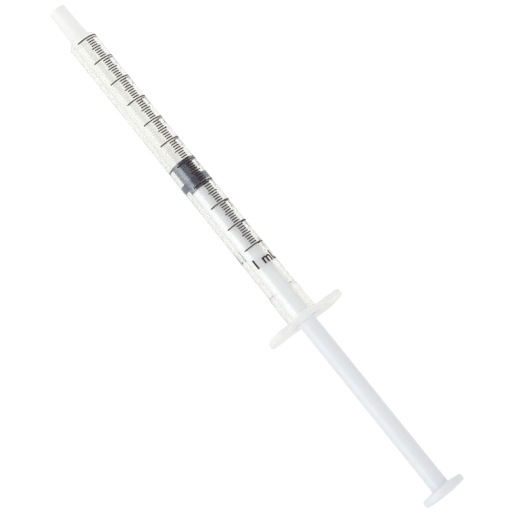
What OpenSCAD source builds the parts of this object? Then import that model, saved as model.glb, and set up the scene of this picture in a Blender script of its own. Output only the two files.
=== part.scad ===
// 1 mL slip-tip syringe: clear graduated barrel, rubber stopper and plunger rod.
// It lies on one flat of its finger flange, nozzle towards -X and thumb pad towards +X.
// The origin is under the middle of its length, on the surface that it lies on.
// Places along the syringe are measured from the zero line, growing towards the thumb pad.

/* [Barrel] */
// Inside diameter of the tube, which sets how far apart the scale's lines are
bore_d = 4.70; // [4.6:0.01:4.8]
// Outside diameter of the tube at its shoulder
tube_front_d = 6.50; // [6.3:0.01:6.7]
// Outside diameter of the tube where the collar starts
tube_back_d = 6.81; // [6.7:0.01:6.95]
// Distance from the zero line to the collar
collar_start = 69.0; // [68:0.1:70]
// Outside diameter of the collar at its start
collar_front_d = 7.14; // [7.0:0.01:7.2]
// Outside diameter of the collar at the flange
collar_back_d = 7.24; // [7.2:0.01:7.5]
// Distance from the zero line to the open end
barrel_back = 77.0; // [76:0.1:78]
// Distance from the zero line to the retaining ridge inside the tube
ridge_at = 68.7; // [67:0.1:70]
// Height of the retaining ridge
ridge_h = 0.12; // [0.08:0.01:0.15]

/* [Nozzle] */
// Length of the slip taper
nozzle_length = 8.05; // [7:0.05:9]
// Diameter of the taper at its open end
nozzle_end_d = 3.90; // [3.85:0.01:4.0]
// Growth of the taper's diameter for each millimetre of length
nozzle_taper = 0.06; // [0.05:0.005:0.07]
// Diameter of the nozzle's bore
nozzle_bore_d = 2.0; // [1.4:0.1:2.2]
// Length of the cone between the taper and the tube
shoulder_length = 1.1; // [0.8:0.05:1.4]
// Distance from the tube's outer front corner to the zero line
corner_to_zero = 0.65; // [0.4:0.05:0.9]

/* [Finger flange] */
// Length of the flange across its round ends
flange_length = 18.9; // [17:0.1:21]
// Width of the flange across its flats
flange_width = 10.6; // [10.2:0.1:12]
// Thickness of the flange
flange_thick = 1.3; // [1.1:0.05:1.6]

/* [Stopper] */
// Reading at the stopper's front edge, in millilitres
reading_ml = 0.585; // [0.1:0.005:1.0]
// Gap between each sealing ring and the bore
ring_gap = 0.02; // [0.01:0.01:0.05]
// Diameter of the waist and the tail
waist_d = 4.36; // [4.2:0.02:4.5]
// Width of the front wiper lip
lip_width = 0.55; // [0.4:0.05:0.8]
// Distance from the front face to the rear sealing ring
ring_start = 4.35; // [4.0:0.05:4.6]
// Width of the rear sealing ring
ring_width = 1.8; // [1.5:0.05:2.0]
// Length of the stopper
stopper_length = 7.0; // [6.8:0.05:7.4]

/* [Plunger rod] */
// Diameter of the shaft behind the stopper
shaft_front_d = 4.00; // [3.8:0.01:4.1]
// Diameter of the shaft at the thumb pad
shaft_back_d = 4.07; // [3.9:0.01:4.2]
// Distance from the stopper's front face to the inner face of the thumb pad
pad_from_face = 87.5; // [86:0.1:89]
// Diameter of the thumb pad
pad_d = 10.0; // [9:0.1:10.2]
// Thickness of the thumb pad at its rim
pad_rim = 1.5; // [1.2:0.05:1.8]
// Rise of each face of the pad from its rim to its middle
pad_dome = 0.33; // [0.1:0.01:0.5]
// Diameter of the snap head inside the stopper
head_d = 2.64; // [2.4:0.02:2.8]
// Diameter of the neck behind the snap head
neck_d = 1.80; // [1.6:0.02:1.9]
// Gap around the snap head and its neck
snap_gap = 0.04; // [0.02:0.01:0.06]

/* [Print] */
// Thickness of the ink
ink_thick = 0.03; // [0.02:0.01:0.05]
// Width of the scale's lines
line_width = 0.27; // [0.2:0.01:0.32]
// Height of the scale's numerals
numeral_height = 1.6; // [1.2:0.1:2.0]
// Height of the unit printed around the back at the last line
unit_height = 2.7; // [2:0.1:3]
// Height of the volume mark behind the scale
mark_height = 2.2; // [1.8:0.1:2.6]
// Distance from the zero line to the middle of the volume mark
mark_at = 61.25; // [60.5:0.05:62]

/* [Hidden] */
$fn = 96;

// 0.1 mL is 100 cubic millimetres of bore.
tenth_volume = 100;
division = tenth_volume / (PI * pow(bore_d / 2, 2));
tenths = 10;
fines_per_tenth = 10;

corner_at = -corner_to_zero;
nozzle_base = corner_at - shoulder_length;
nozzle_end = nozzle_base - nozzle_length;
nozzle_base_d = nozzle_end_d + nozzle_taper * nozzle_length;
nozzle_round = 0.3;
chamber_floor = -0.15;
collar_bevel = 0.15;
ridge_slope = 0.25;
mouth_length = 1.2;
mouth_d = bore_d + 0.5;
flange_front = barrel_back - flange_thick;
flange_fillet = 0.6;
flange_edge = 0.2;

face_at = reading_ml * tenths * division;
ring_d = bore_d - 2 * ring_gap;
lip_lead = 0.1;
waist_slope = 0.15;
socket_floor = 2.4;
socket_back = 5.2;
socket_cone = 0.6;

shaft_start = stopper_length + 0.05;
shaft_bevel = 0.1;
pad_fillet = 0.3;
pad_round = 0.4;
pad_flat_r = 1.0;
pad_inner_rim = pad_from_face + pad_dome;
pad_outer_rim = pad_inner_rim + pad_rim;
pad_outer = pad_outer_rim + pad_dome;

syringe_middle = (nozzle_end + face_at + pad_outer) / 2;
axis_height = flange_width / 2;

// Angles around the barrel are from straight up, growing towards -Y.
long_line = [-108, 36];
last_line = [-78, 36];
medium_line = [-35, 7];
short_line = [-28, 1];
point_angle = -75;
numeral_angle = -82;
unit_angle = -87;
mark_angle = 33;
numeral_drop = 0.25;

// Strokes on a cell 1 wide and 2 high, as [x0, y0, x1, y1].
SEGMENTS = [
    [0, 2, 1, 2], [1, 1, 1, 2], [1, 0, 1, 1], [0, 0, 1, 0], [0, 0, 0, 1], [0, 1, 0, 2], [0, 1, 1, 1]
];
DIGITS = [
    [0, 1, 2, 3, 4, 5], [1, 2], [0, 1, 6, 4, 3], [0, 1, 6, 2, 3], [5, 6, 1, 2],
    [0, 5, 6, 2, 3], [0, 5, 6, 4, 2, 3], [0, 1, 2], [0, 1, 2, 3, 4, 5, 6], [0, 1, 2, 3, 5, 6]
];
LETTER_M = [[0, 0, 0, 1], [0, 1, 0.5, 1], [0.5, 0, 0.5, 1], [0.5, 1, 1, 1], [1, 0, 1, 1]];
LETTER_L = [[0, 0, 0, 2], [0, 0, 1, 0]];
STEM = [[0, 0, 0, 2]];
POINT = [[0, 0, 0, 0]];

// Points along an arc of radius r about [x, y].
function arc(x, y, r, from, to, steps = 6) = [
    for (i = [0:steps])
        let (a = from + (to - from) * i / steps)
        [x + r * cos(a), y + r * sin(a)]
];

// Outside radius of the tube at a place along it.
function tube_r(at) =
    (tube_front_d + (tube_back_d - tube_front_d) * (at - corner_at) / (collar_start - corner_at)) / 2;

// Rise of a domed pad face at a radius, from its rim.
function dome(r) = pad_dome * (1 - pow((r - pad_flat_r) / (pad_d / 2 - pad_flat_r), 2));

function digit(n) = [for (s = DIGITS[n]) SEGMENTS[s]];

// Turns a shape made around Z into one along the syringe: Z becomes X and X becomes up.
module along_syringe() {
    translate([-syringe_middle, 0, axis_height])
        rotate([0, 90, 0])
        rotate([0, 0, 180])
        children();
}

module barrel_outline() {
    polygon(concat(
        [[0, nozzle_end]],
        arc(nozzle_end_d / 2 - nozzle_round, nozzle_end + nozzle_round, nozzle_round, -90, 0),
        [
            [nozzle_base_d / 2, nozzle_base],
            [nozzle_base_d / 2 + corner_at - nozzle_base, corner_at],
            [tube_front_d / 2, corner_at],
            [tube_back_d / 2, collar_start - collar_bevel],
            [collar_front_d / 2, collar_start]
        ],
        arc(collar_back_d / 2 + flange_fillet, flange_front - flange_fillet, flange_fillet, 180, 90),
        [
            [collar_back_d / 2 + flange_fillet, barrel_back],
            [0, barrel_back]
        ]
    ));
}

module bore_outline() {
    r = bore_d / 2;
    past_end = 1;
    polygon([
        [0, chamber_floor],
        [r, chamber_floor],
        [r, ridge_at - ridge_slope],
        [r - ridge_h, ridge_at],
        [r, ridge_at + ridge_slope],
        [r, barrel_back - mouth_length],
        [mouth_d / 2, barrel_back],
        [mouth_d / 2, barrel_back + past_end],
        [0, barrel_back + past_end]
    ]);
}

module finger_flange() {
    r = flange_length / 2;
    half = flange_width / 2;
    intersection() {
        rotate_extrude()
            polygon([
                [0, flange_front],
                [r - flange_edge, flange_front],
                [r, flange_front + flange_edge],
                [r, barrel_back - flange_edge],
                [r - flange_edge, barrel_back],
                [0, barrel_back]
            ]);
        rotate([90, 0, 0])
            linear_extrude(height = flange_length, center = true)
            polygon([
                [-half, flange_front + flange_edge],
                [flange_edge - half, flange_front],
                [half - flange_edge, flange_front],
                [half, flange_front + flange_edge],
                [half, barrel_back - flange_edge],
                [half - flange_edge, barrel_back],
                [flange_edge - half, barrel_back],
                [-half, barrel_back - flange_edge]
            ]);
    }
}

// One clear moulding: nozzle, shoulder, tube, collar and finger flange.
module barrel() {
    color([0.93, 0.93, 0.91, 0.35])
        along_syringe()
        difference() {
            union() {
                rotate_extrude() barrel_outline();
                finger_flange();
            }
            rotate_extrude() bore_outline();
            translate([0, 0, nozzle_end - 1])
                cylinder(d = nozzle_bore_d, h = nozzle_length + shoulder_length + 3);
        }
}

module stopper_outline() {
    lip_r = ring_d / 2;
    waist_r = waist_d / 2;
    polygon([
        [0, 0],
        [lip_r - lip_lead, 0],
        [lip_r, lip_lead],
        [lip_r, lip_width],
        [waist_r, lip_width + waist_slope],
        [waist_r, ring_start - waist_slope],
        [lip_r, ring_start],
        [lip_r, ring_start + ring_width],
        [waist_r, ring_start + ring_width + waist_slope],
        [waist_r, stopper_length],
        [0, stopper_length]
    ]);
}

// The snap head and its neck, or the socket for them when grown by a gap.
module snap_outline(gap, length) {
    r = head_d / 2 + gap;
    tip_r = r - socket_cone;
    polygon([
        [0, socket_floor + snap_gap - gap],
        [tip_r, socket_floor + snap_gap - gap],
        [r, socket_floor + snap_gap - gap + socket_cone],
        [r, socket_back - snap_gap + gap],
        [neck_d / 2 + gap, socket_back - snap_gap + gap],
        [neck_d / 2 + gap, length],
        [0, length]
    ]);
}

// Dark rubber, with a snap socket moulded inside it.
module stopper() {
    color([0.20, 0.20, 0.24])
        along_syringe()
        translate([0, 0, face_at])
        rotate_extrude()
        difference() {
            stopper_outline();
            snap_outline(gap = snap_gap, length = stopper_length + 1);
        }
}

module shaft_outline() {
    front_r = shaft_front_d / 2;
    back_r = shaft_back_d / 2;
    rim_r = pad_d / 2;
    dome_steps = 8;
    dome_radii = [
        for (i = [0:dome_steps])
            pad_flat_r + (rim_r - pad_round - pad_flat_r) * i / dome_steps
    ];
    polygon(concat(
        [
            [0, shaft_start],
            [front_r - shaft_bevel, shaft_start],
            [front_r, shaft_start + shaft_bevel]
        ],
        arc(back_r + pad_fillet, pad_from_face - pad_fillet, pad_fillet, 180, 90),
        [for (r = dome_radii) if (r > back_r + pad_fillet) [r, pad_inner_rim - dome(r)]],
        arc(rim_r - pad_round, pad_inner_rim + pad_round, pad_round, -60, 0),
        arc(rim_r - pad_round, pad_outer_rim - pad_round, pad_round, 0, 60),
        [for (i = [dome_steps:-1:0]) [dome_radii[i], pad_outer_rim + dome(dome_radii[i])]],
        [[0, pad_outer]]
    ));
}

// White moulding: snap head, neck, round shaft and domed thumb pad.
module plunger_rod() {
    color([0.93, 0.94, 0.96])
        along_syringe()
        translate([0, 0, face_at])
        rotate_extrude()
        union() {
            snap_outline(gap = 0, length = shaft_start);
            shaft_outline();
        }
}

// A patch of ink on the tube, between two angles and two places along it.
module ink_patch(from_angle, to_angle, front, back) {
    rotate([0, 0, from_angle])
        rotate_extrude(angle = to_angle - from_angle)
        polygon([
            [tube_r(front), front],
            [tube_r(front) + ink_thick, front],
            [tube_r(back) + ink_thick, back],
            [tube_r(back), back]
        ]);
}

module scale_line(at, span) {
    ink_patch(span[0], span[1], at - line_width / 2, at + line_width / 2);
}

// One character made of strokes. Its top points to the nozzle and it reads round towards +Y.
module character(strokes, left_angle, foot, width, height, stroke) {
    degree_per_mm = 180 / (PI * tube_r(foot));
    half = stroke / 2;
    for (s = strokes) {
        upright = s[0] == s[2] && s[1] != s[3];
        level = s[0] != s[2];
        // A stroke stops a little short, so that no two strokes meet.
        inset = 0.02;
        side = level ? -half - inset : half;
        ends = upright ? -half - inset : half;
        left = left_angle - (s[0] * width - side) * degree_per_mm;
        right = left_angle - (s[2] * width + side) * degree_per_mm;
        ink_patch(right, left, foot - s[3] * height / 2 - ends, foot - s[1] * height / 2 + ends);
    }
}

// Long lines, one at each tenth of a millilitre. The last stops short of the unit beside it.
module scale_lines_long() {
    color([0.24, 0.16, 0.14])
        along_syringe()
        for (i = [0:tenths])
            scale_line(i * division, i < tenths ? long_line : last_line);
}

// Medium lines, halfway between the long ones.
module scale_lines_medium() {
    color([0.24, 0.16, 0.14])
        along_syringe()
        for (i = [0:tenths - 1])
            scale_line((i + 0.5) * division, medium_line);
}

// Short lines, at each hundredth that has no longer line.
module scale_lines_short() {
    color([0.24, 0.16, 0.14])
        along_syringe()
        for (i = [1:tenths * fines_per_tenth - 1])
            if (i % (fines_per_tenth / 2) != 0)
                scale_line(i * division / fines_per_tenth, short_line);
}

// Numerals .1 to .9 beside their lines, and 1.0 mL round the back at the last line.
module scale_numerals() {
    stroke = 0.22;
    digit_width = 0.85;
    unit_stroke = 0.34;
    unit_foot = tenths * division + unit_height / 2;
    step = 180 / (PI * tube_r(unit_foot));
    color([0.24, 0.16, 0.14])
        along_syringe() {
            for (i = [1:tenths - 1]) {
                foot = i * division + numeral_drop + numeral_height;
                character(POINT, point_angle, foot, digit_width, numeral_height, stroke);
                character(digit(i), numeral_angle, foot, digit_width, numeral_height, stroke);
            }
            character(STEM, unit_angle, unit_foot, 1, unit_height, unit_stroke);
            character(POINT, unit_angle - 0.9 * step, unit_foot, 1, unit_height, unit_stroke);
            character(digit(0), unit_angle - 1.8 * step, unit_foot, 1.4, unit_height, unit_stroke);
            character(LETTER_M, unit_angle - 5.0 * step, unit_foot, 2.4, unit_height, unit_stroke);
            character(LETTER_L, unit_angle - 8.5 * step, unit_foot, 1.3, unit_height, unit_stroke);
        }
}

// Volume mark behind the scale, reading 1 mL.
module volume_mark() {
    stroke = 0.42;
    foot = mark_at + mark_height / 2;
    step = 180 / (PI * tube_r(foot));
    color([0.24, 0.16, 0.14])
        along_syringe() {
            character(STEM, mark_angle, foot, 1, mark_height, stroke);
            character(LETTER_M, mark_angle - 1.6 * step, foot, 2.1, mark_height, stroke);
            character(LETTER_L, mark_angle - 4.6 * step, foot, 1.1, mark_height, stroke);
        }
}

barrel();
stopper();
plunger_rod();
scale_lines_long();
scale_lines_medium();
scale_lines_short();
scale_numerals();
volume_mark();
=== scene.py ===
# %% [markdown]
# # A 1 mL oral syringe
#
# The object is a slim dosing syringe: a clear, slightly milky plastic barrel with a printed scale, a dark rubber
# stopper, and a white plunger rod. The barrel is one moulding with its nozzle and finger flange, and the rod is one
# moulding with its thumb pad. Three things make it look real: the way clear plastic bends what is behind it, the way
# rubber pressed on the wall fills the whole width of the tube, and crisp thin print that follows the tapered tube.
#
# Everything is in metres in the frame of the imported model. The syringe lies along X with its nozzle towards -X.

# %% Load the frame
import math

import bmesh
import bpy
from mathutils import Matrix, Vector


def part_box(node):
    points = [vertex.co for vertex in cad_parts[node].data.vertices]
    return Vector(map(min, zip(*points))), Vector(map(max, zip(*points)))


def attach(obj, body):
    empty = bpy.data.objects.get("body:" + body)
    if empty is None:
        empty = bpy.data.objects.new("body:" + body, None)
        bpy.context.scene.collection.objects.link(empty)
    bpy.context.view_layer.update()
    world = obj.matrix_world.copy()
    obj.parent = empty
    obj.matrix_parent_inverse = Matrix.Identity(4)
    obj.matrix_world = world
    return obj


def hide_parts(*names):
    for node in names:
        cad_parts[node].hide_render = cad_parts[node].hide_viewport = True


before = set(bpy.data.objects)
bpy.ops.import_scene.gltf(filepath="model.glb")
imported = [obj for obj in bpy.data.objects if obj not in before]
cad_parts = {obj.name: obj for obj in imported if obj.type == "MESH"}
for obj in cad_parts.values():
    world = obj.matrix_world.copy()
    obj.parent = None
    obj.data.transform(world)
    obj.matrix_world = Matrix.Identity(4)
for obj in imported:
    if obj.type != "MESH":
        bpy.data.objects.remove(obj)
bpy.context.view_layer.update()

# %% [markdown]
# ## Places along the syringe
#
# Moulded parts are turned shapes, so nearly every size is a radius at a place along the axis. It helps to measure
# those places as the maker does, from the zero line of the scale. The boxes of the CAD nodes give the zero line, the
# axis and the stopper's face, so the looks always sit where the model is.

# %% Axis, zero line and scale
MM = 0.001
barrel_low, barrel_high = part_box("barrel")
stopper_low, stopper_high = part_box("stopper")
rod_low, rod_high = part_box("plunger_rod")

LINE_WIDTH = 0.27 * MM
# Radii and places for the turned outlines are plain millimetres.
TUBE_BORE_R = 2.35
TENTHS = 10
AXIS_Z = (barrel_low.z + barrel_high.z) / 2
ZERO_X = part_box("scale_lines_long")[0].x + LINE_WIDTH / 2
DIVISION = 100 * MM**3 / (math.pi * (TUBE_BORE_R * MM) ** 2)
FACE_X = stopper_low.x
print("axis height", AXIS_Z, "zero line at", ZERO_X, "0.1 mL is", round(DIVISION / MM, 3), "mm long")


def along(mm_from_zero):
    """X of a place given in millimetres from the zero line."""
    return ZERO_X + mm_from_zero * MM


# %% [markdown]
# ## Camera
#
# A long lens from about half a metre keeps the slim tube nearly parallel, with only a little perspective. The syringe
# runs corner to corner, so the camera is turned by half a right angle and a bit. It also looks slightly from the thumb
# pad's end, and from a few degrees round to one side, so that one end of the finger flange comes nearer.

# %% Camera
AIM = Vector((3.0 * MM, 0.27 * MM, AXIS_Z + 0.08 * MM))
CAMERA_DISTANCE = 0.4653
ROUND_THE_SYRINGE = math.radians(17.03)
TOWARDS_THE_PAD = math.radians(8.56)
TURN = math.radians(51.17)

camera_data = bpy.data.cameras.new("camera")
camera_data.lens = 153.9
camera_data.clip_start = 0.01
camera_data.clip_end = 10
camera = bpy.data.objects.new("camera", camera_data)
bpy.context.collection.objects.link(camera)
facing = (
    Matrix.Rotation(ROUND_THE_SYRINGE, 4, "X")
    @ Matrix.Rotation(TOWARDS_THE_PAD, 4, "Y")
    @ Matrix.Rotation(TURN, 4, "Z")
)
camera.matrix_world = Matrix.Translation(AIM) @ facing @ Matrix.Translation((0, 0, CAMERA_DISTANCE))
bpy.context.scene.camera = camera
print("camera at", [round(x, 4) for x in camera.matrix_world.translation])

# %% [markdown]
# ## Turned shapes
#
# A lathe turns an outline of (place, radius) points round the axis. One closed skin with an outside and a bore is
# what clear plastic needs, because light bends once at each real surface. A lathe whose radius may also depend on the
# angle can make the finger flange too: its outline is a circle cut by two flats, so it stays in the same skin and
# no Boolean leaves slivers. Angles are from straight up, growing towards -Y.

# %% Lathe helpers
AROUND = 128
SHARP_ANGLE = math.radians(32)


def arc(place, radius, r, start, end, steps=6):
    """Outline points on an arc about (place, radius), in millimetres. 0 degrees points along the syringe."""
    angles = [math.radians(start + (end - start) * i / steps) for i in range(steps + 1)]
    return [(place + r * math.cos(a), radius + r * math.sin(a)) for a in angles]


def rounded(outline, r, steps=3):
    """The outline with its inner corners rounded by a small curve of about r millimetres."""
    points = [outline[0]]
    for before, corner, after in zip(outline, outline[1:], outline[2:]):
        a, b, c = Vector(before), Vector(corner), Vector(after)
        cut = min(r, (a - b).length * 0.45, (c - b).length * 0.45)
        p = b + (a - b).normalized() * cut
        q = b + (c - b).normalized() * cut
        for i in range(steps + 1):
            t = i / steps
            points.append(tuple((1 - t) ** 2 * p + 2 * t * (1 - t) * b + t * t * q))
    return points + [outline[-1]]


def even_angles(count=AROUND):
    """Angles evenly spaced round the axis."""
    return [2 * math.pi * i / count for i in range(count)]


def lathe(name, outline, angles=None, reach=None):
    """A turned mesh. outline is (millimetres from zero, radius in millimetres).

    reach(radius, angle) may change a radius.
    """
    angles = angles or even_angles()
    bm = bmesh.new()
    rings = []
    for place, radius in outline:
        x = along(place)
        if radius < 1e-6:
            rings.append([bm.verts.new((x, 0, AXIS_Z))])
            continue
        ring = []
        for a in angles:
            r = (reach(radius, a) if reach else radius) * MM
            ring.append(bm.verts.new((x, -r * math.sin(a), AXIS_Z + r * math.cos(a))))
        rings.append(ring)
    n = len(angles)
    for first, second in zip(rings, rings[1:]):
        for i in range(n):
            j = (i + 1) % n
            corners = [first[i % len(first)], first[j % len(first)], second[j % len(second)], second[i % len(second)]]
            corners = list(dict.fromkeys(corners))
            if len(corners) > 2:
                bm.faces.new(corners)
    bmesh.ops.recalc_face_normals(bm, faces=bm.faces)
    return finished(name, bm)


def smooth_with_edges(mesh):
    """Shades a mesh smooth, except at real edges."""
    mesh.polygons.foreach_set("use_smooth", [True] * len(mesh.polygons))
    mesh.set_sharp_from_angle(angle=SHARP_ANGLE)


def finished(name, bm):
    """A linked object from a bmesh, smooth except at real edges."""
    mesh = bpy.data.meshes.new(name)
    bm.to_mesh(mesh)
    bm.free()
    smooth_with_edges(mesh)
    obj = bpy.data.objects.new(name, mesh)
    bpy.context.collection.objects.link(obj)
    print(name, len(mesh.vertices), "vertices")
    return obj


# %% [markdown]
# ## The barrel
#
# The outline runs along the outside from the nozzle's end to the flange, round the flange, and back down the bore to
# the nozzle's hole. The tube grows slightly towards the flange, because a moulded part needs draft to leave its tool.
# The nozzle's bore is narrow and its wall thick, which is why the nozzle looks whiter than the tube.

# %% Barrel
NOZZLE_END = (barrel_low.x - ZERO_X) / MM
BARREL_BACK = (barrel_high.x - ZERO_X) / MM
NOZZLE_BASE = -1.75
CORNER = -0.65
COLLAR = 69.0
RIDGE = 68.7
FLANGE_THICK = 1.3
FLANGE_FRONT = BARREL_BACK - FLANGE_THICK
FLANGE_R = (barrel_high.y - barrel_low.y) / 2 / MM
FLANGE_HALF = (barrel_high.z - barrel_low.z) / 2 / MM
NOZZLE_END_R = 1.95
NOZZLE_BASE_R = 2.19
NOZZLE_BORE_R = 1.0
NOZZLE_ROUND = 0.3
TUBE_FRONT_R = 3.25
TUBE_BACK_R = 3.405
COLLAR_FRONT_R = 3.57
COLLAR_BACK_R = 3.62
FLANGE_FILLET = 0.6
RIDGE_TOP_R = 2.23
MOUTH_R = 2.60
CHAMBER_FLOOR = -0.15
EDGE = 0.2


def flange_reach(radius, angle):
    """Cuts the flange's round rim to its two flats. Rings inside the flats stay round."""
    across = abs(math.cos(angle))
    inset = FLANGE_R - radius
    flat = FLANGE_HALF - inset
    if radius < FLANGE_HALF - 0.5 or across * radius <= flat:
        return radius
    return flat / across


outside = (
    [(NOZZLE_END, NOZZLE_BORE_R)]
    + arc(NOZZLE_END + NOZZLE_ROUND, NOZZLE_END_R - NOZZLE_ROUND, NOZZLE_ROUND, 180, 90)
    + rounded([
        (NOZZLE_END + 2 * NOZZLE_ROUND, NOZZLE_END_R + 0.018),
        (NOZZLE_BASE, NOZZLE_BASE_R),
        (CORNER, TUBE_FRONT_R),
        (COLLAR - 0.15, TUBE_BACK_R),
        (COLLAR, COLLAR_FRONT_R),
        (FLANGE_FRONT - FLANGE_FILLET - 0.1, COLLAR_BACK_R),
    ], 0.12)
    + arc(FLANGE_FRONT - FLANGE_FILLET, COLLAR_BACK_R + FLANGE_FILLET, FLANGE_FILLET, 270, 360, 8)[1:]
)
rim = (
    [(FLANGE_FRONT, FLANGE_R - EDGE - 0.05)]
    + arc(FLANGE_FRONT + EDGE, FLANGE_R - EDGE, EDGE, 180, 90, 5)
    + arc(BARREL_BACK - EDGE, FLANGE_R - EDGE, EDGE, 90, 0, 5)
    + [(BARREL_BACK, FLANGE_R - EDGE - 0.05)]
)
bore = rounded([
    (BARREL_BACK, 4.2),
    (BARREL_BACK, MOUTH_R),
    (BARREL_BACK - 1.2, TUBE_BORE_R),
    (RIDGE + 0.25, TUBE_BORE_R),
    (RIDGE, RIDGE_TOP_R),
    (RIDGE - 0.25, TUBE_BORE_R),
    (CHAMBER_FLOOR, TUBE_BORE_R),
    (CHAMBER_FLOOR, NOZZLE_BORE_R),
    (NOZZLE_END, NOZZLE_BORE_R),
], 0.06)
corner_angle = math.acos(FLANGE_HALF / FLANGE_R)
flange_angles = sorted(
    even_angles()
    + [corner_angle, math.pi - corner_angle, math.pi + corner_angle, 2 * math.pi - corner_angle]
)
barrel = lathe("barrel_moulding", outside + rim + bore[:-1], angles=flange_angles, reach=flange_reach)


# %% Close the nozzle's hole onto its first ring
def weld(obj, distance):
    """Joins points that lie on each other and points the faces outwards again."""
    bm = bmesh.new()
    bm.from_mesh(obj.data)
    bmesh.ops.remove_doubles(bm, verts=bm.verts, dist=distance)
    bmesh.ops.recalc_face_normals(bm, faces=bm.faces)
    open_edges = sum(1 for e in bm.edges if not e.is_manifold)
    bm.to_mesh(obj.data)
    bm.free()
    print(obj.name, "open edges:", open_edges)


def close_ring(obj, count):
    """Joins the last ring of a lathe to its first one."""
    bm = bmesh.new()
    bm.from_mesh(obj.data)
    bm.verts.ensure_lookup_table()
    first, last = bm.verts[:count], bm.verts[-count:]
    for i in range(count):
        j = (i + 1) % count
        bm.faces.new([last[i], last[j], first[j], first[i]])
    bmesh.ops.recalc_face_normals(bm, faces=bm.faces)
    bm.to_mesh(obj.data)
    bm.free()


close_ring(barrel, len(flange_angles))
weld(barrel, 1e-7)
smooth_with_edges(barrel.data)
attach(barrel, "barrel")
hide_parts("barrel")

# %% [markdown]
# ## The rubber stopper
#
# Real rubber is squeezed against the bore, so its rings have no air between them and the plastic. That matters to the
# eye: with no air gap the wall acts as a lens and a ring looks as wide as the whole tube, while the waist, which
# stands in air, looks its true size. So the rings are a hair larger than the bore here.

# %% Stopper
FACE = (FACE_X - ZERO_X) / MM
RING_R = 2.354
WAIST_R = 2.18
stopper_outline = [(FACE, 0.0)] + rounded([
    (FACE, 1.2),
    (FACE, RING_R - 0.1),
    (FACE + 0.1, RING_R),
    (FACE + 0.55, RING_R),
    (FACE + 0.70, WAIST_R),
    (FACE + 4.20, WAIST_R),
    (FACE + 4.35, RING_R),
    (FACE + 6.15, RING_R),
    (FACE + 6.30, WAIST_R),
    (FACE + 7.0, WAIST_R),
    (FACE + 7.0, 0.94),
    (FACE + 5.2, 0.94),
    (FACE + 5.2, 1.36),
    (FACE + 3.0, 1.36),
    (FACE + 2.4, 0.76),
], 0.05) + [(FACE + 2.4, 0.0)]
stopper = lathe("rubber_stopper", stopper_outline)
weld(stopper, 1e-7)
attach(stopper, "stopper")
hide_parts("stopper")

# %% [markdown]
# ## The plunger rod
#
# One white moulding: a snap head and neck that hide inside the rubber, a smooth round shaft with a little draft, and a
# thumb pad that is slightly domed on both faces with a soft rim. A shallow dimple with the stub of the gate marks the
# middle of the pad, where the plastic entered the mould.

# %% Plunger rod
PAD_R = (rod_high.y - rod_low.y) / 2 / MM
PAD_OUTER = (rod_high.x - ZERO_X) / MM
PAD_DOME = 0.33
PAD_RIM = 1.5
PAD_ROUND = 0.4
PAD_INNER_RIM = PAD_OUTER - PAD_DOME - PAD_RIM
SHAFT_FRONT_R = 2.0
SHAFT_BACK_R = 2.035


def dome(radius):
    """How far a pad face stands out from its rim at a radius."""
    return PAD_DOME * (1 - ((radius - 1.0) / (PAD_R - 1.0)) ** 2)


dome_radii = [1.0 + (PAD_R - PAD_ROUND - 1.0) * i / 12 for i in range(13)]
pad_face = PAD_INNER_RIM - PAD_DOME
rod_outline = (
    [(FACE + 2.44, 0.0)]
    + rounded([
        (FACE + 2.44, 0.3),
        (FACE + 2.44, 0.72),
        (FACE + 3.04, 1.32),
        (FACE + 5.16, 1.32),
        (FACE + 5.16, 0.90),
        (FACE + 7.05, 0.90),
        (FACE + 7.05, SHAFT_FRONT_R),
        (FACE + 7.6, SHAFT_FRONT_R),
    ], 0.08)
    + arc(pad_face - 0.3, SHAFT_BACK_R + 0.3, 0.3, 270, 360, 8)
    + [(PAD_INNER_RIM - dome(r), r) for r in dome_radii if r > SHAFT_BACK_R + 0.35]
    + arc(PAD_INNER_RIM + PAD_ROUND, PAD_R - PAD_ROUND, PAD_ROUND, 150, 90, 6)
    + arc(PAD_INNER_RIM + PAD_RIM - PAD_ROUND, PAD_R - PAD_ROUND, PAD_ROUND, 90, 30, 6)
    + [(PAD_INNER_RIM + PAD_RIM + dome(r), r) for r in reversed(dome_radii)]
    + rounded([(PAD_OUTER, 1.0), (PAD_OUTER - 0.12, 0.8), (PAD_OUTER - 0.12, 0.32), (PAD_OUTER - 0.03, 0.26)], 0.05)
    + [(PAD_OUTER - 0.02, 0.0)]
)
rod = lathe("plunger_rod_moulding", rod_outline)
weld(rod, 1e-7)
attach(rod, "plunger")
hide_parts("plunger_rod")

# %% [markdown]
# ## Rolling print onto the tube
#
# The scale is printed flat and rolled round the barrel. The same idea works here: each line and letter is made as a
# thin flat slab, with X along the tube, Y round it and Z out of it, and one Geometry Nodes group rolls any slab onto
# the tapered tube. The ink's underside sinks a few thousandths of a millimetre into the plastic, so that it is seen
# from behind as ink on the wall, with no air between.

# %% Node helpers
INK = 0.03 * MM
SINK = 0.006 * MM


def node(tree, kind, **settings):
    """Adds a node and sets its plain properties."""
    made = tree.nodes.new(kind)
    for key, value in settings.items():
        setattr(made, key, value)
    return made


def maths(tree, operation, a, b=None):
    """A Math node fed by sockets or plain numbers. Returns its output."""
    made = node(tree, "ShaderNodeMath", operation=operation)
    for socket, value in zip(made.inputs, (a, b)):
        if value is None:
            continue
        if isinstance(value, (int, float)):
            socket.default_value = value
        else:
            tree.links.new(value, socket)
    return made.outputs[0]


def group_socket(tree, name, kind, way="INPUT", value=None):
    """A named socket on a node group. Returns its identifier."""
    socket = tree.interface.new_socket(name=name, in_out=way, socket_type=kind)
    if value is not None:
        socket.default_value = value
    return socket.identifier


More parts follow.
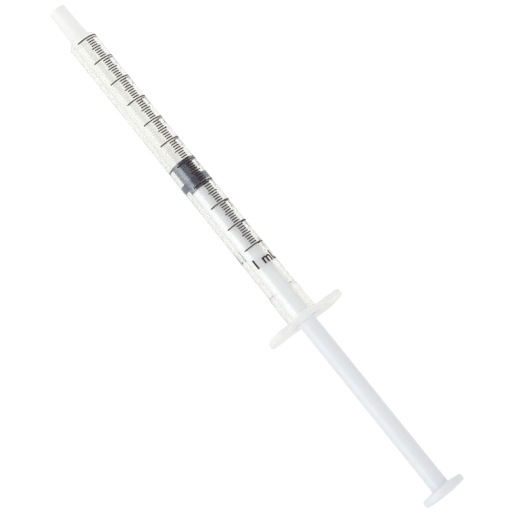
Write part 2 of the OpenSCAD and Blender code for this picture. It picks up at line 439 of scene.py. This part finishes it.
# %% The roll-on group
def make_roll_group():
    """Geometry Nodes group: rolls flat slabs onto the tapered tube."""
    tree = bpy.data.node_groups.new("roll_onto_tube", "GeometryNodeTree")
    group_socket(tree, "Geometry", "NodeSocketGeometry")
    group_socket(tree, "Front Place", "NodeSocketFloat", value=along(CORNER))
    group_socket(tree, "Front Radius", "NodeSocketFloat", value=TUBE_FRONT_R * MM)
    group_socket(tree, "Growth", "NodeSocketFloat", value=(TUBE_BACK_R - TUBE_FRONT_R) / (COLLAR - CORNER))
    group_socket(tree, "Axis Height", "NodeSocketFloat", value=AXIS_Z)
    group_socket(tree, "Geometry", "NodeSocketGeometry", way="OUTPUT")
    come, leave = node(tree, "NodeGroupInput"), node(tree, "NodeGroupOutput")
    place = node(tree, "GeometryNodeInputPosition")
    split = node(tree, "ShaderNodeSeparateXYZ")
    tree.links.new(place.outputs[0], split.inputs[0])
    x, y, z = split.outputs
    past_front = maths(tree, "SUBTRACT", x, come.outputs["Front Place"])
    tube_r = maths(tree, "MULTIPLY_ADD", past_front, come.outputs["Growth"])
    tree.links.new(come.outputs["Front Radius"], tube_r.node.inputs[2])
    angle = maths(tree, "DIVIDE", y, tube_r)
    radius = maths(tree, "ADD", tube_r, z)
    side = maths(tree, "MULTIPLY", maths(tree, "SINE", angle), radius)
    up = maths(tree, "MULTIPLY", maths(tree, "COSINE", angle), radius)
    rolled = node(tree, "ShaderNodeCombineXYZ")
    tree.links.new(x, rolled.inputs[0])
    tree.links.new(side, rolled.inputs[1])
    tree.links.new(maths(tree, "ADD", up, come.outputs["Axis Height"]), rolled.inputs[2])
    move = node(tree, "GeometryNodeSetPosition")
    tree.links.new(come.outputs["Geometry"], move.inputs["Geometry"])
    tree.links.new(rolled.outputs[0], move.inputs["Position"])
    tree.links.new(move.outputs[0], leave.inputs[0])
    return tree


roll_group = make_roll_group()


def tube_radius(mm_from_zero):
    """Outside radius of the tube, in metres."""
    grown = (TUBE_BACK_R - TUBE_FRONT_R) * (mm_from_zero - CORNER) / (COLLAR - CORNER)
    return (TUBE_FRONT_R + grown) * MM


print("tube radius at the zero line", round(tube_radius(0) / MM, 3), "mm")

# %% [markdown]
# ## The scale's lines
#
# A hundred and one lines repeat by one rule, so Geometry Nodes place them: a row of points, one rounded slab on each
# point, and the roll-on group at the end. The same tree makes the long, medium and short lines with other numbers.
# The short lines leave a gap wherever a longer line stands.


# %% A tree for a row of printed lines
def make_line_tree():
    """Geometry Nodes tree: a row of round-ended lines across the tube, rolled onto it."""
    tree = bpy.data.node_groups.new("row_of_printed_lines", "GeometryNodeTree")
    group_socket(tree, "Geometry", "NodeSocketGeometry")
    ids = {
        name: group_socket(tree, name, kind)
        for name, kind in (
            ("Count", "NodeSocketInt"),
            ("First Place", "NodeSocketFloat"),
            ("Spacing", "NodeSocketFloat"),
            ("Leave Out Every", "NodeSocketInt"),
            ("Line Start", "NodeSocketFloat"),
            ("Line Length", "NodeSocketFloat"),
            ("Line Width", "NodeSocketFloat"),
            ("Ink Thickness", "NodeSocketFloat"),
            ("Segments", "NodeSocketInt"),
            ("Ink", "NodeSocketMaterial"),
        )
    }
    group_socket(tree, "Geometry", "NodeSocketGeometry", way="OUTPUT")
    come, leave = node(tree, "NodeGroupInput"), node(tree, "NodeGroupOutput")
    want = come.outputs
    link = tree.links.new

    row = node(tree, "GeometryNodeMeshLine")
    link(want["Count"], row.inputs["Count"])
    start, step = node(tree, "ShaderNodeCombineXYZ"), node(tree, "ShaderNodeCombineXYZ")
    link(want["First Place"], start.inputs[0])
    link(maths(tree, "MULTIPLY_ADD", want["Line Length"], 0.5), start.inputs[1])
    link(want["Line Start"], start.inputs[1].links[0].from_node.inputs[2])
    link(want["Spacing"], step.inputs[0])
    link(start.outputs[0], row.inputs["Start Location"])
    link(step.outputs[0], row.inputs["Offset"])

    slab = node(tree, "GeometryNodeMeshCube")
    size = node(tree, "ShaderNodeCombineXYZ")
    link(want["Line Width"], size.inputs[0])
    link(want["Line Length"], size.inputs[1])
    link(want["Ink Thickness"], size.inputs[2])
    link(size.outputs[0], slab.inputs["Size"])
    link(want["Segments"], slab.inputs["Vertices Y"])

    # Round the ends: past the last half width, the slab narrows as a circle does.
    split = node(tree, "ShaderNodeSeparateXYZ")
    link(node(tree, "GeometryNodeInputPosition").outputs[0], split.inputs[0])
    half_width = maths(tree, "MULTIPLY", want["Line Width"], 0.5)
    straight = maths(tree, "SUBTRACT", maths(tree, "MULTIPLY", want["Line Length"], 0.5), half_width)
    over = maths(tree, "SUBTRACT", maths(tree, "ABSOLUTE", split.outputs[1]), straight)
    share = maths(tree, "MAXIMUM", maths(tree, "DIVIDE", over, half_width), 0.0)
    kept = maths(tree, "SUBTRACT", 1.0, maths(tree, "POWER", share, 2.0))
    narrow = maths(tree, "MAXIMUM", maths(tree, "SQRT", maths(tree, "MAXIMUM", kept, 0.0)), 0.35)
    shape = node(tree, "ShaderNodeCombineXYZ")
    link(maths(tree, "MULTIPLY", split.outputs[0], narrow), shape.inputs[0])
    link(split.outputs[1], shape.inputs[1])
    link(maths(tree, "ADD", split.outputs[2], INK / 2 - SINK), shape.inputs[2])
    round_ends = node(tree, "GeometryNodeSetPosition")
    link(slab.outputs["Mesh"], round_ends.inputs["Geometry"])
    link(shape.outputs[0], round_ends.inputs["Position"])

    counted = maths(tree, "ADD", node(tree, "GeometryNodeInputIndex").outputs[0], 1.0)
    keep = maths(tree, "GREATER_THAN", maths(tree, "MODULO", counted, want["Leave Out Every"]), 0.5)
    put = node(tree, "GeometryNodeInstanceOnPoints")
    link(row.outputs[0], put.inputs["Points"])
    link(round_ends.outputs[0], put.inputs["Instance"])
    link(keep, put.inputs["Selection"])
    real = node(tree, "GeometryNodeRealizeInstances")
    link(put.outputs[0], real.inputs[0])
    roll = node(tree, "GeometryNodeGroup", node_tree=roll_group)
    link(real.outputs[0], roll.inputs["Geometry"])
    paint = node(tree, "GeometryNodeSetMaterial")
    link(roll.outputs[0], paint.inputs["Geometry"])
    link(want["Ink"], paint.inputs["Material"])
    link(paint.outputs[0], leave.inputs[0])
    return tree, ids


line_tree, line_ids = make_line_tree()
print("line tree inputs:", ", ".join(line_ids))


# %% [markdown]
# ## Moulded surfaces
#
# No moulded face is perfectly even. It has slow waves where the plastic cooled, a fine grain from the tool, and marks
# drawn out the way the plastic flowed. All four finishes share this, so it is one node group, built once and placed
# in each material with its own sizes.

# %% The noise that every moulded surface shares
GRAIN_SHARE = 0.15


def make_moulded_group():
    """Shader group: the faint waviness and uneven gloss of a moulded surface, in millimetres on the piece."""
    tree = bpy.data.node_groups.new("moulded_surface", "ShaderNodeTree")
    group_socket(tree, "Roughness", "NodeSocketFloat", value=0.2)
    group_socket(tree, "Unevenness", "NodeSocketFloat", value=0.05)
    group_socket(tree, "Wave Length mm", "NodeSocketFloat", value=4.0)
    group_socket(tree, "Grain mm", "NodeSocketFloat", value=0.2)
    group_socket(tree, "Across / Along", "NodeSocketFloat", value=1.0)
    group_socket(tree, "Roughness", "NodeSocketFloat", way="OUTPUT")
    group_socket(tree, "Height", "NodeSocketFloat", way="OUTPUT")
    group_socket(tree, "Patches", "NodeSocketFloat", way="OUTPUT")
    come, leave = node(tree, "NodeGroupInput"), node(tree, "NodeGroupOutput")
    # Plastic flows along the mould, so its marks can be drawn out along the syringe.
    drawn, flow = node(tree, "ShaderNodeVectorMath", operation="MULTIPLY"), node(tree, "ShaderNodeCombineXYZ")
    tree.links.new(come.outputs["Across / Along"], flow.inputs[0])
    flow.inputs[1].default_value = flow.inputs[2].default_value = 1.0
    tree.links.new(node(tree, "ShaderNodeTexCoord").outputs["Object"], drawn.inputs[0])
    tree.links.new(flow.outputs[0], drawn.inputs[1])
    place = drawn.outputs[0]
    wave, grain = node(tree, "ShaderNodeTexNoise"), node(tree, "ShaderNodeTexNoise")
    for noise, size in ((wave, "Wave Length mm"), (grain, "Grain mm")):
        tree.links.new(place, noise.inputs["Vector"])
        tree.links.new(maths(tree, "DIVIDE", 1 / MM, come.outputs[size]), noise.inputs["Scale"])
        noise.inputs["Detail"].default_value = 2.0
    offset = maths(tree, "SUBTRACT", wave.outputs["Fac"], 0.5)
    uneven = maths(tree, "MULTIPLY_ADD", offset, come.outputs["Unevenness"])
    tree.links.new(come.outputs["Roughness"], uneven.node.inputs[2])
    tree.links.new(uneven, leave.inputs["Roughness"])
    height = maths(tree, "MULTIPLY_ADD", grain.outputs["Fac"], GRAIN_SHARE)
    tree.links.new(wave.outputs["Fac"], height.node.inputs[2])
    tree.links.new(height, leave.inputs["Height"])
    patches = node(tree, "ShaderNodeMapRange", interpolation_type="SMOOTHSTEP")
    patches.inputs["From Min"].default_value = 0.3
    patches.inputs["From Max"].default_value = 0.7
    both = maths(tree, "MULTIPLY", maths(tree, "ADD", wave.outputs["Fac"], grain.outputs["Fac"]), 0.5)
    tree.links.new(both, patches.inputs["Value"])
    tree.links.new(patches.outputs["Result"], leave.inputs["Patches"])
    return tree


moulded_group = make_moulded_group()
SURFACE_NODE = "Moulded Surface"
print("moulded surface group:", len(moulded_group.nodes), "nodes")


def moulded_material(
    name, light, dark, wave=4.0, grain=0.2, flow=1.0, roughness=0.2, unevenness=0.05, bump_mm=0.002, **sockets
):
    """A Principled material with the moulded surface in its colour, roughness and bump.

    The rest goes on its sockets.
    """
    material = bpy.data.materials.new(name)
    material.use_nodes = True
    tree = material.node_tree
    shader = tree.nodes["Principled BSDF"]
    surface = node(tree, "ShaderNodeGroup", node_tree=moulded_group, name=SURFACE_NODE)
    surface.inputs["Roughness"].default_value = roughness
    surface.inputs["Unevenness"].default_value = unevenness
    surface.inputs["Wave Length mm"].default_value = wave
    surface.inputs["Grain mm"].default_value = grain
    surface.inputs["Across / Along"].default_value = flow
    bump = node(tree, "ShaderNodeBump")
    bump.inputs["Strength"].default_value = 0.35
    bump.inputs["Distance"].default_value = bump_mm * MM
    tree.links.new(surface.outputs["Height"], bump.inputs["Height"])
    tree.links.new(surface.outputs["Roughness"], shader.inputs["Roughness"])
    tree.links.new(bump.outputs["Normal"], shader.inputs["Normal"])
    shade = node(tree, "ShaderNodeMix", data_type="RGBA")
    # A Mix node has a socket of each name for every kind of data. In colour mode, A and B are the ones at 6 and 7.
    shade.inputs[6].default_value = (*light, 1)
    shade.inputs[7].default_value = (*dark, 1)
    tree.links.new(surface.outputs["Patches"], shade.inputs[0])
    tree.links.new(shade.outputs[2], shader.inputs["Base Color"])
    for socket, value in sockets.items():
        shader.inputs[socket.replace("_", " ")].default_value = value
    return material


# %% [markdown]
# ## Clear plastic
#
# The barrel is polypropylene: clear where it is thin, clouded where it is thick. So it gets two finishes on one
# skin. The tube lets nearly all light through, with only a trace of milk. The nozzle and flange scatter it, so they
# let less through and are rough inside. A mask along the syringe blends the roughness over the shoulder.
#
# Light that bounces off the floor or the rod passes straight through the barrel, by a Light Path switch in front of
# the shader. Without it the clear wall would throw a grey shadow that real clear plastic doesn't have.


# %% A shader group that tells the thick ends from the tube
def make_ends_group():
    """Shader group: 1 on the nozzle and the finger flange, 0 on the tube, with soft changes between."""
    tree = bpy.data.node_groups.new("thick_ends", "ShaderNodeTree")
    group_socket(tree, "Tube Start", "NodeSocketFloat", value=along(0.4))
    group_socket(tree, "Tube End", "NodeSocketFloat", value=along(FLANGE_FRONT - 1.2))
    group_socket(tree, "Change", "NodeSocketFloat", value=1.0 * MM)
    group_socket(tree, "Mask", "NodeSocketFloat", way="OUTPUT")
    come, leave = node(tree, "NodeGroupInput"), node(tree, "NodeGroupOutput")
    split = node(tree, "ShaderNodeSeparateXYZ")
    tree.links.new(node(tree, "ShaderNodeTexCoord").outputs["Object"], split.inputs[0])
    before = maths(tree, "SUBTRACT", come.outputs["Tube Start"], split.outputs[0])
    after = maths(tree, "SUBTRACT", split.outputs[0], come.outputs["Tube End"])
    past = maths(tree, "DIVIDE", maths(tree, "MAXIMUM", before, after), come.outputs["Change"])
    soft = node(tree, "ShaderNodeMapRange", interpolation_type="SMOOTHSTEP")
    tree.links.new(past, soft.inputs["Value"])
    tree.links.new(soft.outputs["Result"], leave.inputs["Mask"])
    return tree


ends_group = make_ends_group()


def let_lamps_through(tree, shader):
    """Puts Transparent in for rays that carry light, so that the clear wall throws no shadow."""
    path = node(tree, "ShaderNodeLightPath")
    shown = shader.outputs[0]
    for ray in ("Is Diffuse Ray", "Is Shadow Ray"):
        mix = node(tree, "ShaderNodeMixShader")
        tree.links.new(path.outputs[ray], mix.inputs[0])
        tree.links.new(shown, mix.inputs[1])
        tree.links.new(node(tree, "ShaderNodeBsdfTransparent").outputs[0], mix.inputs[2])
        shown = mix.outputs[0]
    tree.links.new(shown, tree.nodes["Material Output"].inputs["Surface"])


def barrel_material(name, tube_roughness, end_roughness, **sockets):
    """Clear plastic whose roughness grows from the tube to the thick ends."""
    material = moulded_material(name, **sockets)
    tree = material.node_tree
    ends = node(tree, "ShaderNodeGroup", node_tree=ends_group)
    blend = maths(tree, "MULTIPLY_ADD", ends.outputs["Mask"], end_roughness - tube_roughness)
    blend.node.inputs[2].default_value = tube_roughness
    tree.links.new(blend, tree.nodes[SURFACE_NODE].inputs["Roughness"])
    let_lamps_through(tree, tree.nodes["Principled BSDF"])
    return material


# %% Clear and clouded plastic, and which faces get each
CLOUDED_BEFORE_FLANGE = 0.75
CLOUDED_OUTSIDE_BORE = 0.3
clear = barrel_material(
    "clear_plastic", light=(0.955, 0.96, 0.93), dark=(0.94, 0.945, 0.91), tube_roughness=0.10, end_roughness=0.35,
    wave=5.0, grain=2.0, flow=0.15, unevenness=0.02, bump_mm=0.0004, IOR=1.49, Transmission_Weight=0.96,
)
clouded = barrel_material(
    "clouded_plastic", light=(0.885, 0.892, 0.874), dark=(0.873, 0.880, 0.862), tube_roughness=0.12,
    end_roughness=0.45, wave=5.0, grain=0.6, flow=0.5, unevenness=0.05, bump_mm=0.0008, IOR=1.49,
    Transmission_Weight=0.35,
)
barrel.data.materials.append(clear)
barrel.data.materials.append(clouded)
for face in barrel.data.polygons:
    place = (face.center.x - ZERO_X) / MM
    wide = math.hypot(face.center.y, face.center.z - AXIS_Z) / MM
    on_flange = place > FLANGE_FRONT - CLOUDED_BEFORE_FLANGE and wide > TUBE_BORE_R + CLOUDED_OUTSIDE_BORE
    face.material_index = int(place < 0 or on_flange)
print("clouded faces:", sum(face.material_index for face in barrel.data.polygons), "of", len(barrel.data.polygons))


# %% [markdown]
# ## Rubber, white plastic and ink
#
# The rubber is a dark blue-grey with a satin skin. Its high index makes the softbox's streak as bright as oiled
# rubber shows it. The rod is a cool white with faint flow marks along it. The ink is a dark brown whose thickness
# varies, so its colour does too.

# %% Rubber, white plastic and ink
rubber = moulded_material(
    "rubber", light=(0.028, 0.037, 0.080), dark=(0.016, 0.021, 0.050), wave=1.5, grain=0.05, roughness=0.22,
    unevenness=0.08, bump_mm=0.004, IOR=2.45, Specular_Tint=(0.78, 0.86, 1.0, 1),
)
stopper.data.materials.append(rubber)

white = moulded_material(
    "white_plastic", light=(0.785, 0.805, 0.835), dark=(0.755, 0.773, 0.803), wave=5.0, grain=0.3, flow=0.3,
    roughness=0.34, unevenness=0.06, bump_mm=0.002, IOR=1.49,
)
rod.data.materials.append(white)

ink = moulded_material(
    "printed_ink", light=(0.062, 0.020, 0.018), dark=(0.030, 0.009, 0.009), wave=0.6, grain=0.04, roughness=0.5,
    unevenness=0.1, bump_mm=0.002, IOR=1.3,
)


# %% [markdown]
# ## Printing the lines
#
# Each row of lines is one object with the tree above. Its inputs are set by their identifiers, the result is copied
# to a plain mesh, and the modifier goes, so that what rides on the barrel is ordinary geometry.

# %% Print the lines
def plain_copy(obj, name):
    """A plain mesh object from an object with live modifiers, which is then removed."""
    depsgraph = bpy.context.evaluated_depsgraph_get()
    mesh = bpy.data.meshes.new_from_object(obj.evaluated_get(depsgraph))
    old = obj.data
    bpy.data.objects.remove(obj)
    if old.users == 0 and isinstance(old, bpy.types.Mesh):
        bpy.data.meshes.remove(old)
    mesh.name = name
    made = bpy.data.objects.new(name, mesh)
    bpy.context.collection.objects.link(made)
    return made


def run_tree(name, mesh, tree, values):
    """Runs a Geometry Nodes tree on a mesh with inputs set by identifier, and returns the plain result."""
    holder = bpy.data.objects.new(name + "_holder", mesh)
    bpy.context.collection.objects.link(holder)
    modifier = holder.modifiers.new("nodes", "NODES")
    modifier.node_group = tree
    for identifier, value in values.items():
        modifier[identifier] = value
    holder.update_tag()
    bpy.context.view_layer.update()
    made = plain_copy(holder, name)
    print(name, len(made.data.polygons), "faces")
    return made


def arc_length(degrees, radius_mm=3.33):
    """Distance round the tube for an angle from straight up, towards +Y."""
    return math.radians(degrees) * radius_mm * MM


def print_lines(name, stands_for, count, first, spacing, ends, leave_out=1000):
    """Prints one row of lines. Places are in divisions of 0.1 mL, ends in degrees from straight up."""
    start, end = (arc_length(degrees) for degrees in ends)
    values = {
        "Count": count,
        "First Place": ZERO_X + first * DIVISION,
        "Spacing": spacing * DIVISION,
        "Leave Out Every": leave_out,
        "Line Start": start,
        "Line Length": end - start,
        "Line Width": LINE_WIDTH,
        "Ink Thickness": INK,
        "Segments": max(24, round((end - start) / (0.1 * MM))),
        "Ink": ink,
    }
    row = run_tree(name, bpy.data.meshes.new(name), line_tree, {line_ids[k]: v for k, v in values.items()})
    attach(row, "barrel")
    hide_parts(stands_for)
    return row


print_lines("scale_tenths", "scale_lines_long", count=TENTHS, first=0, spacing=1, ends=(-36, 108))
print_lines("scale_last_tenth", "scale_lines_long", count=1, first=TENTHS, spacing=1, ends=(-36, 78))
print_lines("scale_half_tenths", "scale_lines_medium", count=TENTHS, first=0.5, spacing=1, ends=(-7, 35))
print_lines(
    "scale_hundredths", "scale_lines_short", count=TENTHS * 10 - 1, first=0.1, spacing=0.1, ends=(-1, 28), leave_out=5
)

# %% [markdown]
# ## Numerals and marks
#
# The numbers are generic scale figures. Each is a text curve turned to a mesh while it is still flat, cut into
# narrow strips so that it can bend, and then rolled on by the same group as the lines. Their tops point to the
# nozzle, so they read with the syringe held upright.


# %% Flat text
def flat_text(words, height_mm, place_mm, left, weight=0.0, squeeze=1.0):
    """A thin closed slab of text, flat. place_mm is its foot, from zero, and left is its start round the tube."""
    curve = bpy.data.curves.new("words", "FONT")
    curve.body = words
    curve.offset = weight
    curve.extrude = 0.5
    curve.resolution_u = 5
    holder = bpy.data.objects.new("words", curve)
    bpy.context.collection.objects.link(holder)
    bpy.context.view_layer.update()
    mesh = bpy.data.meshes.new_from_object(holder.evaluated_get(bpy.context.evaluated_depsgraph_get()))
    bpy.data.objects.remove(holder)
    bpy.data.curves.remove(curve)
    bm = bmesh.new()
    bm.from_mesh(mesh)
    bpy.data.meshes.remove(mesh)
    top = max(v.co.y for v in bm.verts)
    start = min(v.co.x for v in bm.verts)
    scale = height_mm * MM / top
    for v in bm.verts:
        x, y = (v.co.x - start) * scale * squeeze, v.co.y * scale
        v.co = Vector((along(place_mm) - y, left + x, INK / 2 - SINK + v.co.z * INK))
    bmesh.ops.remove_doubles(bm, verts=bm.verts, dist=1e-6)
    low, high = (f(v.co.y for v in bm.verts) for f in (min, max))
    cuts = math.ceil((high - low) / (0.12 * MM))
    for i in range(1, cuts):
        bmesh.ops.bisect_plane(
            bm,
            geom=bm.verts[:] + bm.edges[:] + bm.faces[:],
            plane_co=(0, low + (high - low) * i / cuts, 0),
            plane_no=(0, 1, 0),
        )
    bmesh.ops.recalc_face_normals(bm, faces=bm.faces)
    return bm


def make_text_tree():
    """Geometry Nodes tree: rolls flat text onto the tube and inks it."""
    tree = bpy.data.node_groups.new("printed_text", "GeometryNodeTree")
    group_socket(tree, "Geometry", "NodeSocketGeometry")
    ink_id = group_socket(tree, "Ink", "NodeSocketMaterial")
    group_socket(tree, "Geometry", "NodeSocketGeometry", way="OUTPUT")
    come, leave = node(tree, "NodeGroupInput"), node(tree, "NodeGroupOutput")
    roll = node(tree, "GeometryNodeGroup", node_tree=roll_group)
    real = node(tree, "GeometryNodeRealizeInstances")
    paint = node(tree, "GeometryNodeSetMaterial")
    tree.links.new(come.outputs["Geometry"], roll.inputs["Geometry"])
    tree.links.new(roll.outputs[0], real.inputs[0])
    tree.links.new(real.outputs[0], paint.inputs["Geometry"])
    tree.links.new(come.outputs["Ink"], paint.inputs["Material"])
    tree.links.new(paint.outputs[0], leave.inputs[0])
    return tree, ink_id


text_tree, text_ink = make_text_tree()


def print_text(name, stands_for, texts):
    """Prints flat texts as one piece of ink on the barrel."""
    mesh = bpy.data.meshes.new(name)
    whole = bmesh.new()
    for bm in texts:
        bm.to_mesh(mesh)
        whole.from_mesh(mesh)
        bm.free()
    whole.to_mesh(mesh)
    whole.free()
    made = run_tree(name, mesh, text_tree, {text_ink: ink})
    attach(made, "barrel")
    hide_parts(stands_for)
    return made


# %% Print the numerals and the volume mark
NUMERAL_HEIGHT = 1.6
NUMERAL_DROP = 0.25
UNIT_HEIGHT = 2.7
MARK_HEIGHT = 2.2
MARK_PLACE = 61.25
division_mm = DIVISION / MM
numerals = [
    flat_text(f".{i}", NUMERAL_HEIGHT, i * division_mm + NUMERAL_DROP + NUMERAL_HEIGHT, arc_length(74))
    for i in range(1, TENTHS)
]
unit = flat_text("1.0 mL", UNIT_HEIGHT, TENTHS * division_mm + UNIT_HEIGHT / 2, arc_length(82, 3.38))
print_text("scale_figures", "scale_numerals", numerals + [unit])
mark = flat_text("1 mL", MARK_HEIGHT, MARK_PLACE + MARK_HEIGHT / 2, arc_length(-37, 3.39), weight=0.02)
print_text("capacity_mark", "volume_mark", [mark])

# %% [markdown]
# ## Floor, light and air
#
# The floor is a plain pale sweep. Clear plastic shows what stands round it, so the light is mostly a soft white
# surround. One long softbox low on the -Y side gives the bright streak that runs down the rubber and the rod. What
# mirrors see and what lights the plastic are set apart: the surround is dimmer to a mirror, so the rubber stays dark.

# %% Floor
FLOOR_HALF = 4
FLOOR_GLOW = 0.42
FLOOR_GLOW_TO_CAMERA = 0.2
floor_corners = [(-FLOOR_HALF, -FLOOR_HALF, 0), (FLOOR_HALF, -FLOOR_HALF, 0)]
floor_corners += [(FLOOR_HALF, FLOOR_HALF, 0), (-FLOOR_HALF, FLOOR_HALF, 0)]
floor_mesh = bpy.data.meshes.new("floor")
floor_mesh.from_pydata(floor_corners, [], [(0, 1, 2, 3)])
floor = bpy.data.objects.new("floor", floor_mesh)
bpy.context.collection.objects.link(floor)
floor_material = bpy.data.materials.new("pale_floor")
floor_material.use_nodes = True
floor_shader = floor_material.node_tree.nodes["Principled BSDF"]
floor_shader.inputs["Base Color"].default_value = (0.5, 0.5, 0.5, 1)
floor_shader.inputs["Roughness"].default_value = 0.8
floor_shader.inputs["Specular IOR Level"].default_value = 0.1
floor_shader.inputs["Emission Color"].default_value = (1, 1, 1, 1)
# The floor is brighter straight to the camera than through the plastic, so that it stays white round the tube.
floor_tree = floor_material.node_tree
to_camera = node(floor_tree, "ShaderNodeLightPath").outputs["Is Camera Ray"]
glow = maths(floor_tree, "MULTIPLY_ADD", to_camera, FLOOR_GLOW_TO_CAMERA)
glow.node.inputs[2].default_value = FLOOR_GLOW
floor_tree.links.new(glow, floor_shader.inputs["Emission Strength"])
floor_mesh.materials.append(floor_material)

# %% Surround
SOFT_LEVEL = 0.93
SOFT_IN_BOX = 0.12
SOFT_BEHIND_WALL = 0.13
LEVEL_TO_CAMERA = 1.05
world = bpy.data.worlds.new("soft_surround")
bpy.context.scene.world = world
world.use_nodes = True
# The surround is smooth, so rays find it by themselves, and the switch below then sees every ray's own history.
world.cycles.sampling_method = "NONE"
tree = world.node_tree
background = tree.nodes["Background"]
background.inputs["Color"].default_value = (1, 1, 1, 1)
path = node(tree, "ShaderNodeLightPath")
direction = node(tree, "ShaderNodeTexCoord").outputs["Generated"]
split = node(tree, "ShaderNodeSeparateXYZ")
tree.links.new(direction, split.inputs[0])
# Angle round the syringe, from straight up towards -Y.
bearing = maths(tree, "ARCTAN2", maths(tree, "MULTIPLY", split.outputs[1], -1.0), split.outputs[2])
box_middle = math.radians(61)
box_half = math.radians(24)
# What a mirror sees all round: bright low down, dark above, and the softbox on one side.
MIRROR_SCALE = 4.0
turned = maths(tree, "MULTIPLY_ADD", bearing, 1 / (2 * math.pi))
turned.node.inputs[2].default_value = 0.5
ramp = node(tree, "ShaderNodeValToRGB")
tree.links.new(turned, ramp.inputs["Fac"])
LOW_DOWN, OVERHEAD, SOFTBOX = 0.9, 0.14, 2.1
stops = [(-88, LOW_DOWN), (-70, OVERHEAD), (38, OVERHEAD), (44, SOFTBOX), (82, SOFTBOX), (88, LOW_DOWN)]
while len(ramp.color_ramp.elements) < len(stops):
    ramp.color_ramp.elements.new(0.5)
for element, (degrees, level) in zip(ramp.color_ramp.elements, stops):
    element.position = degrees / 360 + 0.5
    element.color = (level / MIRROR_SCALE,) * 3 + (1,)
mirror = maths(tree, "MULTIPLY", ramp.outputs["Color"], MIRROR_SCALE)
off_box = maths(tree, "ABSOLUTE", maths(tree, "SUBTRACT", bearing, box_middle))
in_box = maths(tree, "LESS_THAN", off_box, box_half)
soft = maths(tree, "MULTIPLY_ADD", in_box, SOFT_IN_BOX)
soft.node.inputs[2].default_value = SOFT_LEVEL
# What is seen through the plastic gets back the light that its walls reflect.
behind_wall = maths(tree, "GREATER_THAN", path.outputs["Transmission Depth"], 0.5)
soft = maths(tree, "ADD", soft, maths(tree, "MULTIPLY", behind_wall, SOFT_BEHIND_WALL))
scattered = maths(tree, "GREATER_THAN", path.outputs["Diffuse Depth"], 0.5)
pick = node(tree, "ShaderNodeMix", data_type="FLOAT")
tree.links.new(scattered, pick.inputs[0])
tree.links.new(mirror, pick.inputs[2])
tree.links.new(soft, pick.inputs[3])
seen = node(tree, "ShaderNodeMix", data_type="FLOAT")
tree.links.new(path.outputs["Is Camera Ray"], seen.inputs[0])
tree.links.new(pick.outputs[0], seen.inputs[2])
seen.inputs[3].default_value = LEVEL_TO_CAMERA
tree.links.new(seen.outputs[0], background.inputs["Strength"])
print("surround seen by a mirror:", stops)

# %% Softbox
SOFTBOX_DISTANCE = 0.8
softbox_data = bpy.data.lights.new("softbox", "AREA")
softbox_data.shape = "RECTANGLE"
softbox_data.size = 0.6
softbox_data.size_y = 0.4
softbox_data.energy = 0.5
softbox = bpy.data.objects.new("softbox", softbox_data)
bpy.context.collection.objects.link(softbox)
softbox.matrix_world = Matrix.Rotation(box_middle, 4, "X") @ Matrix.Translation((0, 0, SOFTBOX_DISTANCE))
softbox.visible_glossy = False
softbox.visible_transmission = False

# %% [markdown]
# ## Finish
#
# The picture is shown with the plain Standard view transform.

# %% Finish
bpy.context.scene.view_settings.view_transform = "Standard"
bpy.context.view_layer.update()
